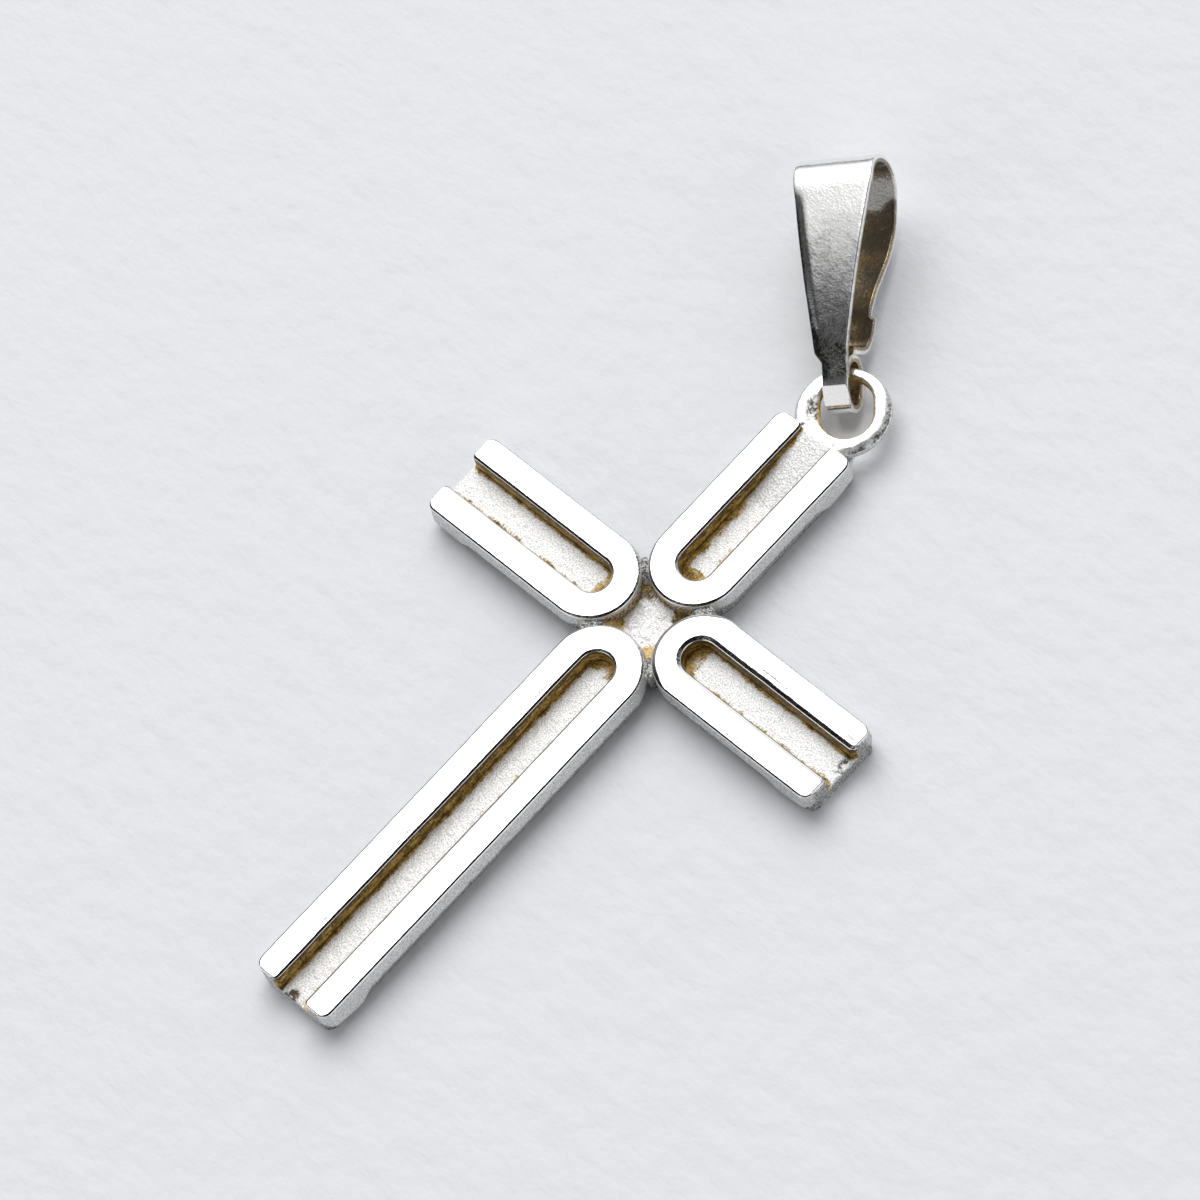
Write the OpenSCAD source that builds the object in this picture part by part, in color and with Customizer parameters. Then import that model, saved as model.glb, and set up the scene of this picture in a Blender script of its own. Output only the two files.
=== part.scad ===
// Silver cross pendant with a folded bail, lying on its back.
// Origin at the middle of the crossing, on the back face. +Y runs along the arms towards the eye,
// +X to the right arm, +Z out of the front. Millimetres.

/* [Cross] */
// Width of every arm
arm_w = 3.75; // [3.3:0.05:4.5]
// Overall thickness of the cross
cross_t = 1.5; // [1.4:0.05:2.0]
// Length of the left and right arms, from the middle of the crossing
side_arm = 10; // [8.5:0.1:13]
// Length of the top arm, from the middle of the crossing
top_arm = 9.6; // [8.5:0.1:13]
// Length of the bottom arm, from the middle of the crossing
bottom_arm = 19.65; // [14:0.1:26]

/* [Channels] */
// Width of the open channel along each arm
channel_w = 1.46; // [1.2:0.02:1.7]
// Depth of the channels below the tops of the bands
channel_depth = 0.78; // [0.6:0.02:0.9]
// How far the channel walls lean in at the floor
wall_draft = 0.06; // [0.02:0.01:0.12]
// Least gap between the bends of two neighbouring bands
bend_gap = 0.24; // [0.15:0.01:0.4]

/* [Edges] */
// Bevel along the tops of the bands
top_bevel = 0.09; // [0.05:0.01:0.14]
// Height of the bevel round the back
back_bevel = 0.3; // [0.15:0.01:0.35]
// Rounding of the corners at the ends of the bands
corner_r = 0.42; // [0.25:0.01:0.45]
// How far the webs in the crossing lie below the tops of the bands
web_drop = 0.17; // [0.1:0.01:0.3]

/* [Eye] */
// Thickness of the eye
eye_t = 0.54; // [0.46:0.01:0.6]
// How far the eye lies below the tops of the bands
eye_drop = 0.15; // [0.1:0.01:0.2]
// Distance from the end of the top arm to the middle of the eye
eye_reach = 1.4; // [1.3:0.05:1.6]
// Radius of the hole in the eye
hole_r = 1.03; // [0.9:0.01:1.05]
// Distance from the middle of the eye to the middle of its hole, along the arm
hole_shift = 0.19; // [0.1:0.01:0.25]
// How far wear has drawn the hole out, each way
hole_wear = 0.25; // [0.1:0.01:0.3]
// Rounding of the eye's upper edge
eye_shoulder = 0.14; // [0.08:0.01:0.16]

/* [Bail] */
// Thickness of the bail's strip
strip_t = 0.32; // [0.25:0.01:0.34]
// Width of the bail at its fold
bail_w = 3.24; // [2.8:0.02:3.8]
// Width of the strip's two tips, where they meet inside the eye
tip_w = 1.04; // [0.9:0.02:1.1]
// Width of the front leg at its nick, beside the eye
front_nick_w = 1.32; // [1.2:0.02:1.4]
// Width of the back leg at its nick, behind the pinch
back_nick_w = 1.84; // [1.6:0.02:2.0]
// How far the back tip stands out to the right at its nick
back_nick_step = 0.18; // [0.1:0.01:0.2]
// How far the middle of the bail lies to the left of its tips
bail_offset = 0.134; // [0.05:0.002:0.2]
// Distance from the bail's hinge to its fold
bail_len = 8.7; // [7:0.05:10]
// Depth of the bail's big loop behind its front leg
bail_gape = 3.3; // [2.8:0.05:3.4]
// Play between the bail's small loop and the eye's wire
bail_play = 0.05; // [0.025:0.005:0.06]
// How much longer than high the small loop is
loop_slack = 0.5; // [0.2:0.05:0.6]
// How much lower the small loop is at its tips than round the wire
loop_taper = 0.08; // [0.05:0.01:0.12]

/* [How the bail lies] */
// Bearing of the bail, from the top arm towards the left arm
bail_bearing = 40; // [30:1:50]
// Bearing of the worn side of the eye, where the bail hangs
wear_bearing = 43; // [35:1:50]
// Rise of the bail's front leg
bail_pitch = 16; // [14:0.5:18]
// Roll of the bail towards its left edge
bail_roll = 12; // [8:0.5:14]

/* [Hidden] */
$fn = 64;
over = 0.5;

arm_half = arm_w / 2;
channel_half = channel_w / 2;
floor_z = cross_t - channel_depth;
web_z = cross_t - web_drop;
// The bends are circles as wide as the arm, spaced so that neighbours leave the gap between them
bend_at = (arm_w + bend_gap) / sqrt(2);
// The star in the crossing is a square whose corners reach the narrowest gaps
star_half = bend_at / 2;
// The webs stop just short of the bands' sides, and under the middle of the bands
web_inset = 0.04;
web_reach = (channel_half + arm_half) / 2;
back_inset = back_bevel / 2;

eye_y = top_arm + eye_reach;
eye_top = cross_t - eye_drop;
eye_bottom = eye_top - eye_t;
hole_y = eye_y + hole_shift;
// Middle of the round at the worn end of the hole, from the middle of the eye
wear_end = [-hole_wear * sin(wear_bearing), hole_shift + hole_wear * cos(wear_bearing)];

// The eye's wire where the bail hangs: its inner edge, and half its width and thickness as the
// strip sees them, with the hole's curve and the bail's roll drawing it out at the strip's edges
wear_dir = [-sin(wear_bearing), cos(wear_bearing)];
wear_along = wear_end * wear_dir;
wire_in = wear_along + sqrt(pow(hole_r, 2) - wear_end * wear_end + pow(wear_along, 2));
wire_sag = hole_r - sqrt(pow(hole_r, 2) - pow((tip_w + front_nick_w) / 4, 2));
wire_half_w = (arm_half - wire_in) / 2 + wire_sag;
wire_half_t = eye_t / 2 + tip_w / 2 * tan(bail_roll);
hinge = [0, eye_y] + (arm_half - wire_half_w) * wear_dir;
hinge_z = (eye_top + eye_bottom) / 2;

// The small loop clears the wire, and the front leg runs on from the top of the loop
loop_r = norm([wire_half_w, wire_half_t]) + bail_play;
leg_n = loop_r + strip_t / 2;
depth = bail_gape - strip_t;
fold_u = bail_len - strip_t / 2;
// The front leg stays narrow over the wire, so that it can stand up in the hole
front_tip_to = 0.8 * loop_r;
front_nick_step = 0.02;
// Where the two nicks lie and where the taper ends, along the bail from the hinge
front_nick = 0.1 * bail_len;
back_nick = 0.295 * bail_len;
taper_end = 0.88 * bail_len;
// Back leg and fold: place along the bail as a share of its length, from the hinge,
// and depth below the front leg as a share of the loop's depth
SHARE_ALONG = 0;
SHARE_DEEP = 1;
FOLD_PATH = [
    [0.820, 0.000],
    [0.891, 0.020],
    [0.940, 0.067],
    [0.975, 0.157],
    [0.995, 0.292],
    [1.000, 0.460],
    [0.987, 0.627],
    [0.953, 0.761],
    [0.897, 0.862],
    [0.821, 0.946],
    [0.727, 1.000],
    [0.651, 0.970],
    [0.586, 0.916],
    [0.528, 0.825],
    [0.475, 0.735],
    [0.422, 0.647],
    [0.369, 0.587],
    [0.317, 0.553],
    [0.270, 0.567],
    [0.223, 0.594],
    [0.182, 0.587],
    [0.152, 0.537],
    [0.134, 0.426],
    [0.127, 0.292],
    [0.124, 0.157]
];
PATH_STEPS = 2;
LOOP_STEPS = 16;

// Points of an arc about c, from angle a0 to a1
function arc(c, r, a0, a1, steps) =
    [for (i = [0 : steps]) let (a = a0 + (a1 - a0) * i / steps) c + r * [cos(a), sin(a)]];

// A point of the curve that runs smoothly through p1 and p2
function spline_point(p0, p1, p2, p3, t) =
    (2 * p1 + (p2 - p0) * t + (2 * p0 - 5 * p1 + 4 * p2 - p3) * pow(t, 2)
        + (3 * p1 - p0 - 3 * p2 + p3) * pow(t, 3)) / 2;

// The smooth curve through a list of points, with its ends held
function spline(pts, steps) =
    let (last = len(pts) - 1)
    [
        for (i = [0 : last - 1], j = [0 : steps - 1])
            spline_point(pts[max(i - 1, 0)], pts[i], pts[i + 1], pts[min(i + 2, last)], j / steps),
        pts[last]
    ];

// Unit normal of a path at one of its points
function path_normal(path, i) =
    let (
        d = path[min(i + 1, len(path) - 1)] - path[max(i - 1, 0)],
        n = [-d[1], d[0]]
    ) n / norm(n);

// A path moved sideways
function beside(path, offset) = [for (i = [0 : len(path) - 1]) path[i] + offset * path_normal(path, i)];
function reversed(list) = [for (i = [len(list) - 1 : -1 : 0]) list[i]];

// The outline of a strip of even thickness along a path
function strip_outline(path, thick) = concat(beside(path, thick / 2), reversed(beside(path, -thick / 2)));

// Half of an arm's section: channel floor, leaning wall, bevelled band and bevelled back
function half_section() = [
    [0, 0],
    [arm_half - back_inset, 0],
    [arm_half, back_bevel],
    [arm_half, cross_t - top_bevel],
    [arm_half - top_bevel, cross_t],
    [channel_half + top_bevel, cross_t],
    [channel_half, cross_t - top_bevel],
    [channel_half - wall_draft, floor_z],
    [0, floor_z]
];

function mirrored(pts) = concat(pts, [for (p = reversed(pts)) if (p[0] > 0) [-p[0], p[1]]]);

// The sharp corner of a band's end, outside its rounding
module corner_waste(r, z0, z1) {
    translate([0, 0, z0])
        linear_extrude(z1 - z0)
            polygon(concat([[over, -r], [over, over], [-r, over]], arc([-r, -r], r, 90, 0, 6)));
}

// One arm along +Y: a U-shaped band round its channel, open at the end
module arm(length) {
    difference() {
        union() {
            translate([0, bend_at, 0])
                rotate([90, 0, 180])
                    linear_extrude(length - bend_at)
                        polygon(mirrored(half_section()));
            translate([0, bend_at, 0])
                rotate([0, 0, 180])
                    rotate_extrude(angle = 180)
                        polygon(half_section());
        }
        for (side = [-1, 1])
            mirror([side < 0 ? 1 : 0, 0, 0]) {
                translate([arm_half, length, 0])
                    corner_waste(corner_r, -over, cross_t + over);
                translate([channel_half, length, 0])
                    mirror([1, 0, 0])
                        corner_waste(corner_r / 2, floor_z, cross_t + over);
            }
    }
}

// Webs that fill the corners between the bends, round the star in the middle
module crossing() {
    reach = arm_half - web_inset;
    difference() {
        union()
            for (turn = [0, 90])
                rotate([0, 0, turn])
                    translate([-bend_at, -reach, 0])
                        cube([2 * bend_at, 2 * reach, web_z]);
        translate([-star_half, -star_half, floor_z])
            cube([2 * star_half, 2 * star_half, cross_t]);
        for (turn = [0 : 90 : 270])
            rotate([0, 0, turn])
                translate([0, bend_at, -over])
                    cylinder(r = web_reach, h = cross_t + 2 * over);
    }
}

// The eye that lies on the end of the top arm, with its root
module eye() {
    root_half = arm_half - corner_r;
    root_y = top_arm - corner_r;
    difference() {
        union() {
            translate([0, eye_y, 0])
                rotate_extrude()
                    polygon([
                        [0, eye_bottom],
                        [arm_half - eye_shoulder, eye_bottom],
                        [arm_half, eye_bottom + eye_shoulder],
                        [arm_half, eye_top - eye_shoulder],
                        [arm_half - eye_shoulder, eye_top],
                        [0, eye_top]
                    ]);
            translate([-root_half, root_y, 0])
                rotate([90, 0, 90])
                    linear_extrude(2 * root_half)
                        polygon([
                            [0, back_bevel],
                            [corner_r, back_bevel],
                            [2 * corner_r, eye_bottom],
                            [2 * corner_r, eye_top - web_drop],
                            [corner_r, eye_top],
                            [0, floor_z]
                        ]);
        }
        for (way = [-1, 1])
            translate([-way * hole_wear * sin(wear_bearing), hole_y + way * hole_wear * cos(wear_bearing), 0])
                translate([0, 0, -over])
                    cylinder(r = hole_r, h = cross_t + 2 * over);
    }
}

module cross() {
    color("silver")
        union() {
            crossing();
            arm(top_arm);
            rotate([0, 0, 90]) arm(side_arm);
            rotate([0, 0, 180]) arm(bottom_arm);
            rotate([0, 0, 270]) arm(side_arm);
            eye();
        }
}

// Side view of the bail: x along the bail from the hinge, y out of its front face
module bail_side() {
    start = [0, leg_n];
    path = concat([start], spline([for (p = FOLD_PATH) [p[SHARE_ALONG] * fold_u, leg_n - p[SHARE_DEEP] * depth]],
        PATH_STEPS));
    polygon(strip_outline(path, strip_t));
}

// The small loop round the wire, its outline grown by the given thickness
function loop_outline(grow) = concat(
    arc([0, 0], loop_r + grow, 90, -90, LOOP_STEPS),
    arc([-loop_slack, loop_taper / 2], loop_r - loop_taper + grow, -90, -270, LOOP_STEPS)
);

// One side of a leg's outline seen from the front, from its tip past its nick to its fold.
// The nick is a short step of the right edge.
function face_edge(side, tip_to, nick_w, nick_at, step) = [
    [side * tip_w / 2, -loop_slack - loop_r - strip_t - over],
    [side * tip_w / 2, tip_to],
    [side * nick_w / 2 - bail_offset + step, nick_at - step],
    [side * nick_w / 2 - bail_offset, nick_at],
    [side * bail_w / 2 - bail_offset, taper_end],
    [side * bail_w / 2 - bail_offset, bail_len + over]
];

module bail_face(tip_to, nick_w, nick_at, step) {
    right_edge = face_edge(1, tip_to, nick_w, nick_at, step);
    left_edge = face_edge(-1, tip_to, nick_w, nick_at, 0);
    polygon(concat(right_edge, reversed([for (i = [0 : len(left_edge) - 1]) if (i != 2) left_edge[i]])));
}

// The bail in its own frame: x across, y along from the hinge, z out of its front face
module bail_upright() {
    intersection() {
        rotate([90, 0, 90])
            translate([0, 0, -bail_w])
                difference() {
                    union() {
                        linear_extrude(2 * bail_w) bail_side();
                        linear_extrude(2 * bail_w) polygon(loop_outline(strip_t));
                    }
                    translate([0, 0, -over])
                        linear_extrude(2 * bail_w + 2 * over) polygon(loop_outline(0));
                }
        union() {
            linear_extrude(bail_gape) bail_face(front_tip_to, front_nick_w, front_nick, front_nick_step);
            translate([0, 0, -bail_gape])
                linear_extrude(bail_gape) bail_face(loop_r, back_nick_w, back_nick, back_nick_step);
        }
    }
}

module bail() {
    color("gainsboro")
        translate([hinge[0], hinge[1], hinge_z])
            rotate([0, 0, bail_bearing])
                rotate([bail_pitch, 0, 0])
                    rotate([0, -bail_roll, 0])
                        bail_upright();
}

cross();
bail();
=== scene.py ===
"""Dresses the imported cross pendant: a worn silver cross with a folded bail, lying on felt paper."""

import logging
from dataclasses import dataclass, field
from enum import Enum
from itertools import product
from math import atan2, ceil, cos, pi, radians, sin, sqrt
from typing import Any

import bmesh
import bpy
import numpy as np
from mathutils import Matrix, Vector

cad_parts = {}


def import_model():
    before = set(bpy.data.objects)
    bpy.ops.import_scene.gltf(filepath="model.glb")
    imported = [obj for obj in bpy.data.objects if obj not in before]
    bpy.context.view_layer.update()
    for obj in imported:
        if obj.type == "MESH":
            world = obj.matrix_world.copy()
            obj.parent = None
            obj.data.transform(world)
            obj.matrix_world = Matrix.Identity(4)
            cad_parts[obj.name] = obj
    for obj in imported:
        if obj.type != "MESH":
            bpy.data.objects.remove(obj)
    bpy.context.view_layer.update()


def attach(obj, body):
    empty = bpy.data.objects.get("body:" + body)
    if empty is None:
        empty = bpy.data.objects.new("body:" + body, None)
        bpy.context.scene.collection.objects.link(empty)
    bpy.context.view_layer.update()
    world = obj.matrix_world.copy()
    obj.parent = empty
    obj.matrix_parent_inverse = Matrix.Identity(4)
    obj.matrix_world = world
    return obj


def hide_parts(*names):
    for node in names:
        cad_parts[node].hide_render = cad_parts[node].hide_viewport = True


LOG = logging.getLogger("pendant")
MM = 0.001

# Painted values: how brown, how dark the brown is, how sandy, and how dull a place is, which also carries
# painted shade
PAINTS = ("tarnish", "tone", "sand", "dull")
# Bands that look this way, in x and y, keep more tarnish beside them and wear at their other edge; the
# painted dark reflection lines on their crests follow it too
WORN_AND_SHADED_SIDE = (0.9, -0.45)
WELD = 0.0002 * MM
SHARP_FROM = radians(50)

# Large odd numbers that mix a lattice point and a seed into a noise value
LATTICE = (374761393, 668265263, 1274126177)
SEED_STEP = 974634777
LOW_BITS = 0xFFFFFFFF

Array = np.ndarray
Socket = bpy.types.NodeSocket


def placed(name: str, data: bpy.types.ID) -> bpy.types.Object:
    """Makes an object and links it to the scene.

    Args:
        name: Its name.
        data: Its mesh, light or camera.

    Returns:
        The object.
    """
    obj = bpy.data.objects.new(name, data)
    bpy.context.scene.collection.objects.link(obj)
    return obj


# ---- shapes in numbers ----


def smooth(low: float, high: float, x: Array) -> Array:
    """Rises smoothly from 0 at low to 1 at high.

    Args:
        low: Where the rise starts.
        high: Where it ends. It may lie below low, for a fall.
        x: The values to read.

    Returns:
        Values from 0 to 1.
    """
    t = np.clip((x - low) / (high - low), 0.0, 1.0)
    return t * t * (3 - 2 * t)


def noise(points: Array, cell: float, seed: int) -> Array:
    """Reads a soft lattice noise, which is the same on every run.

    Args:
        points: Places, with x, y and z along the last axis.
        cell: Size of the lattice's cells, in the places' unit.
        seed: Picks one of many patterns.

    Returns:
        Values from -1 to 1, one for each place.
    """
    q = points / cell
    base = np.floor(q).astype(np.int64)
    part = q - base
    part = part * part * (3 - 2 * part)
    total = np.zeros(points.shape[:-1])
    for corner in product((0, 1), repeat=3):
        h = (base + np.array(corner)) @ np.array(LATTICE)
        h = (h + seed * SEED_STEP) & LOW_BITS
        h = ((h ^ (h >> 13)) * LATTICE[2]) & LOW_BITS
        h = h ^ (h >> 16)
        weight = np.prod(np.where(np.array(corner) == 1, part, 1 - part), axis=-1)
        total += weight * ((h & 0xFFFF) / 32767.5 - 1)
    return total


def steps(start: float, end: float, spacing: float) -> Array:
    """Goes in even steps from start to end, both included, no further apart than spacing.

    Args:
        start: First value.
        end: Last value.
        spacing: The most that two neighbours may be apart.

    Returns:
        The values.
    """
    return np.linspace(start, end, max(2, ceil(abs(end - start) / spacing) + 1))


# How far a worn crest reaches in and down, in shares of its bevel
CREST_IN, CREST_DOWN = 2.6, 1.0
# Its flat middle, between two rounded ends
CREST_MIDDLE = ((0.17, 0.68), (0.25, 0.60), (0.33, 0.555), (0.56, 0.44), (0.8, 0.32), (1.04, 0.20))


def crest_line() -> list[tuple[float, float]]:
    """Lists a bevelled crest's points, from its wall to its top, in shares of the bevel.

    Returns:
        Each point's distance in from the wall and down from the top.
    """
    low = ((0.0, CREST_DOWN), (0.0, 0.86), (0.09, 0.76))
    high = ((1.25, 0.09), (1.45, 0.0), (CREST_IN, 0.0))
    rows = []
    for start, middle, end in (low, high):
        for t in np.linspace(0, 1, 5):
            weights = ((1 - t) ** 2, 2 * t * (1 - t), t * t)
            rows.append(tuple(sum(w * p[k] for w, p in zip(weights, (start, middle, end))) for k in (0, 1)))
        if start is low[0]:
            rows += CREST_MIDDLE
    return rows


class Zone(Enum):
    """The parts of a band's section, from the channel outwards and down to the back."""

    FLOOR = 0
    WALL = 1
    INNER_CREST = 2
    TOP = 3
    OUTER_CREST = 4
    SIDE = 5
    BEVEL = 6
    BACK = 7


@dataclass
class Skin:
    """Grids and polygons that grow into one mesh, with painted values on its vertices."""

    places: list = field(default_factory=list)
    faces: list = field(default_factory=list)
    paint: dict = field(default_factory=dict)
    count: int = 0

    def grid(self, points: Array, ring: bool = False, flip: bool = False, **values: Any) -> None:
        """Adds a grid of four-sided faces.

        Args:
            points: Places in millimetres, rows by columns by 3.
            ring: Whether the last row joins the first.
            flip: Whether the faces look the other way.
            **values: A painted value for each place, by name.
        """
        rows, cols = points.shape[:2]
        number = np.arange(rows * cols).reshape(rows, cols) + self.count
        ahead = np.roll(number, -1, axis=0)
        if not ring:
            number, ahead = number[:-1], ahead[:-1]
        quads = np.stack([number[:, :-1], ahead[:, :-1], ahead[:, 1:], number[:, 1:]], axis=-1).reshape(-1, 4)
        self.faces += (quads[:, ::-1] if flip else quads).tolist()
        self._add(points, values)

    def polygon(self, points: Array, **values: Any) -> None:
        """Adds one many-sided face.

        Args:
            points: Its corners in order, in millimetres.
            **values: A painted value for each corner, by name.
        """
        self.faces.append([self.count + i for i in range(len(points))])
        self._add(points, values)

    def _add(self, points: Array, values: dict) -> None:
        """Keeps places and their painted values.

        Args:
            points: The places.
            values: The painted values by name.
        """
        for name in PAINTS:
            value = np.broadcast_to(values.get(name, 0.0), points.shape[:-1]).reshape(-1)
            self.paint.setdefault(name, []).append(value)
        self.places.append(points.reshape(-1, 3))
        self.count += len(self.places[-1])

    def mesh_object(self, name: str, turn: Array = np.eye(3), shift: tuple = (0, 0, 0)) -> bpy.types.Object:
        """Makes the Blender object.

        Args:
            name: Its name.
            turn: The rotation that lays it into the pendant's frame.
            shift: Where its own origin then goes, in millimetres.

        Returns:
            The object, linked to the scene, welded and smooth.
        """
        mesh = bpy.data.meshes.new(name)
        places = np.concatenate(self.places) @ turn.T + shift
        mesh.from_pydata((places * MM).tolist(), [], self.faces)
        for label, parts in self.paint.items():
            layer = mesh.attributes.new(label, "FLOAT", "POINT")
            layer.data.foreach_set("value", np.concatenate(parts).astype(np.float32))
        work = bmesh.new()
        work.from_mesh(mesh)
        bmesh.ops.remove_doubles(work, verts=work.verts, dist=WELD)
        for face in work.faces:
            face.smooth = len(face.verts) <= 4
        bmesh.ops.triangulate(work, faces=[f for f in work.faces if len(f.verts) > 4])
        bmesh.ops.recalc_face_normals(work, faces=work.faces)
        work.to_mesh(mesh)
        work.free()
        mesh.set_sharp_from_angle(angle=SHARP_FROM)
        return placed(name, mesh)


# ---- the cross ----


@dataclass
class Arm:
    """One arm: a band bent into a U round an open channel. All sizes are in millimetres.

    The arm is built along Y and then turned, in degrees from the top arm towards the left one.
    """

    name: str
    turn: float
    length: float
    seed: int

    # The band's section, and its open end
    half_width: float = 1.875
    channel_half: float = 0.73
    height: float = 1.5
    floor: float = 0.72
    bend_at: float = 2.8214
    draft: float = 0.06
    crest: float = 0.08
    outer_crest: float = 0.06
    back_bevel: float = 0.3
    back_inset: float = 0.15
    belly: float = 0.13
    corner: float = 0.42
    end_edge: float = 0.09
    end_foot: float = 0.2
    spacing: float = 0.056

    # Unevenness: fine grit, dents and slow swells
    floor_grit: float = 0.008
    floor_dents: float = 0.009
    top_crown: float = 0.006
    top_swell: float = 0.005
    top_dents: float = 0.0015
    wall_swell: float = 0.010
    wall_dents: float = 0.008
    side_swell: float = 0.008
    side_dents: float = 0.004
    side_grit: float = 0.006
    foot_swell: float = 0.06
    foot_dents: float = 0.03

    # How far the tarnish reaches onto the floor, how strong the other stains and the wear are, and how much
    # painted shade the sides get
    thin_stain: float = 0.05
    lee_stain: float = 0.3
    bend_stain: float = 0.4
    foot_stain: float = 0.05
    wall_shade: float = 0.62
    crust: float = 0.0
    wear: float = 0.8
    side_dull: float = 0.1

    # Sizes of the unevenness, from grit to slow swells
    CELLS = (0.09, 0.14, 0.25, 0.35, 0.55, 0.9, 1.4)

    def _stations(self) -> tuple[Array, Array, Array]:
        """Lists the places along the U, from the right end round the bend to the left end.

        Returns:
            Middle points, outward directions, and each one's distance from the open end.
        """
        rounds = (self.corner, self.corner / 2, self.end_edge)
        quarter = np.linspace(0, pi / 2, 8)
        near = sorted({round(r * (1 - sin(a)), 2) for r in rounds for a in quarter})
        far = self.length - self.bend_at
        leg = np.concatenate([near, steps(near[-1], far, self.spacing)[1:]])
        angles = steps(0, -pi, self.spacing / self.half_width)[1:-1]
        mid = [(0, self.length - t) for t in leg] + [(0, self.bend_at)] * len(angles)
        mid += [(0, self.length - t) for t in leg[::-1]]
        out = [(1, 0)] * len(leg) + [(cos(a), sin(a)) for a in angles] + [(-1, 0)] * len(leg)
        away = np.concatenate([leg, [far] * len(angles), leg[::-1]])
        return np.array(mid, float), np.array(out, float), away[:, None]

    def _columns(self) -> tuple[Array, Array, Array]:
        """Lists the section's points from the middle of the floor to the middle of the back.

        Returns:
            Each point's zone, and its shares across and up that zone.
        """
        rows = [(Zone.FLOOR, s, 0.0) for s in steps(0, 1, 0.08)]
        rows += [(Zone.WALL, s, s) for s in steps(0, 1, 0.1)[1:]]
        rows += [(Zone.INNER_CREST, x, y) for x, y in crest_line()]
        rows += [(Zone.TOP, s, s) for s in steps(0, 1, 0.09)[1:-1]]
        rows += [(Zone.OUTER_CREST, x, y) for x, y in reversed(crest_line())]
        for zone, spacing in ((Zone.SIDE, 0.08), (Zone.BEVEL, 0.2), (Zone.BACK, 0.16)):
            rows += [(zone, s, s) for s in steps(0, 1, spacing)[1:]]
        zones, across, up = zip(*rows)
        return np.array([z.value for z in zones]), np.array(across), np.array(up)

    def _on(self, *kinds: Zone) -> Array:
        """Marks the section's points that lie in some zones."""
        return np.isin(self._columns()[0], [k.value for k in kinds]) * 1.0

    def _belly_at(self, away: Array, bend: Array, rise: float) -> Array:
        """Finds how far down the sides stand out most."""
        return (0.57 + rise * smooth(2.3, 1.6, away)) * (1 - 0.2 * bend)

    def _section(self, away: Array, bend: Array) -> tuple[Array, Array, Array]:
        """Places every column at every station.

        Args:
            away: Each station's distance from the open end.
            bend: How far each station lies in the bend, from 0 to 1.

        Returns:
            Distances from the middle line, heights, and the channel's half width at each station.
        """

        def inset(radius: float) -> Array:
            """Finds how far a rounding of that radius has come in at each station."""
            return radius - np.sqrt(radius**2 - np.clip(radius - away, 0, radius) ** 2)

        zones, s, t = self._columns()
        outer = self.half_width - inset(self.corner)
        inner = self.channel_half + inset(self.corner / 2)
        top = self.height - inset(self.end_edge)
        low = self.floor - 0.5 * inset(self.end_edge)
        under = 0.6 * inset(self.end_foot)
        bevel = self.back_bevel + under + 0.25 * smooth(1.6, 0.0, away)
        near, far = self.crest, self.outer_crest + (self.crest - self.outer_crest) * bend
        start, end = inner + CREST_IN * near, outer - CREST_IN * far
        wall_top, side_top = top - CREST_DOWN * near, top - CREST_DOWN * far
        belly = self._belly_at(away, bend, 0.38)
        lean = self.belly * (1 - 0.6 * bend) * smooth(0.0, 0.3, away)
        rules = {
            Zone.FLOOR: (s * (inner - self.draft), low),
            Zone.WALL: (inner - self.draft * (1 - s), low + s * (wall_top - low)),
            Zone.INNER_CREST: (inner + near * s, top - near * t),
            Zone.TOP: (start + s * (end - start), top),
            Zone.OUTER_CREST: (outer - far * s, top - far * t),
            Zone.SIDE: (outer + lean * np.minimum(s / belly, (1.001 - s) / (1.001 - belly)),
                        side_top + s * (bevel - side_top)),
            Zone.BEVEL: (outer - self.back_inset * s, bevel + s * (under - bevel)),
            Zone.BACK: ((outer - self.back_inset) * (1 - s), under),
        }
        lies = [zones == z.value for z in rules]
        across, up = (np.select(lies, list(values)) for values in zip(*rules.values()))
        return across, up, inner

    def build(self) -> bpy.types.Object:
        """Builds the arm's mesh, with its unevenness and its stains.

        Returns:
            The arm, in place.
        """
        mid, out, away = self._stations()
        bend = smooth(0.05, 0.5, -out[:, 1:])
        across, up, inner = self._section(away, bend)
        zones, share, _ = self._columns()
        free = share < 0.999  # All but the corner between floor and wall, which stays where it is

        def place() -> Array:
            """Turns distances and heights into places."""
            return np.concatenate([mid[:, None] + out[:, None] * across[..., None], up[..., None]], axis=-1)

        spot = place()
        rough = {cell: noise(spot, cell, self.seed + k) for k, cell in enumerate(self.CELLS)}
        grit = 0.55 * rough[0.09] + 0.45 * rough[0.14]
        wall, crest = self._on(Zone.WALL) * free, self._on(Zone.INNER_CREST)
        up += self._on(Zone.FLOOR) * (self.floor_grit * grit + self.floor_dents * rough[0.25]) * free
        crown = self.top_crown * np.where(self._on(Zone.TOP), (2 * share - 1) ** 2, 1.0)
        sunk = crown + self.top_swell * (1 + rough[1.4]) + self.top_dents * (1 + rough[0.35])
        up -= self._on(Zone.INNER_CREST, Zone.TOP, Zone.OUTER_CREST) * sunk
        across += (wall + crest) * self.wall_swell * rough[0.9] + wall * self.wall_dents * rough[0.25]
        sides = self._on(Zone.SIDE, Zone.OUTER_CREST, Zone.BEVEL)
        across -= sides * (self.side_swell * (1 + rough[1.4]) + self.side_dents * (1 + rough[0.35]))
        across -= self._on(Zone.SIDE) * self.side_grit * (1 + grit)
        foot = self._on(Zone.SIDE) * (share > 0.97) + self._on(Zone.BEVEL) * (share < 0.7)
        up += foot * (self.foot_swell * (1 + rough[0.55]) + self.foot_dents * (1 + rough[0.25]))

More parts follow.
